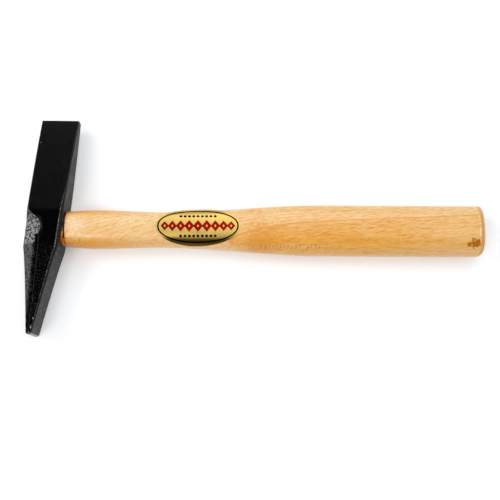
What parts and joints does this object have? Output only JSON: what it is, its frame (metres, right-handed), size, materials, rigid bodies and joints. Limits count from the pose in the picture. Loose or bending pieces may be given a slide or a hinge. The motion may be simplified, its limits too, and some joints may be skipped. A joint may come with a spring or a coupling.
{
  "type": "upholstery hammer",
  "caption": "Light trade hammer: a black forged head with a broad blade and a narrow cross peen, wedged on an oval beech handle with a plain gold oval label.",
  "frame": {"origin": "under the centre of the head's eye, on the surface that the lower cheek rests on", "axes": "+X along the handle to its butt, +Y along the head to the blade, +Z out of the upper cheek"},
  "size_m": [0.2727, 0.1294, 0.0225],
  "materials": {
    "painted_steel": "forged steel under brushed semi-gloss black paint",
    "beech": "straight-grained beech, sanded and clear lacquered",
    "wedge_wood": "sawn hardwood end grain",
    "wedge_steel": "bare cut steel",
    "amber_lacquer": "hardened amber lacquer, glossy",
    "gold_foil": "thin gold foil label, satin"
  },
  "bodies": {
    "root": {"hammer_head": "painted_steel", "handle": "beech", "wood_wedge": "wedge_wood", "steel_wedge": "wedge_steel", "eye_lacquer": "amber_lacquer", "foil_label": "gold_foil"}
  },
  "joints": []
}
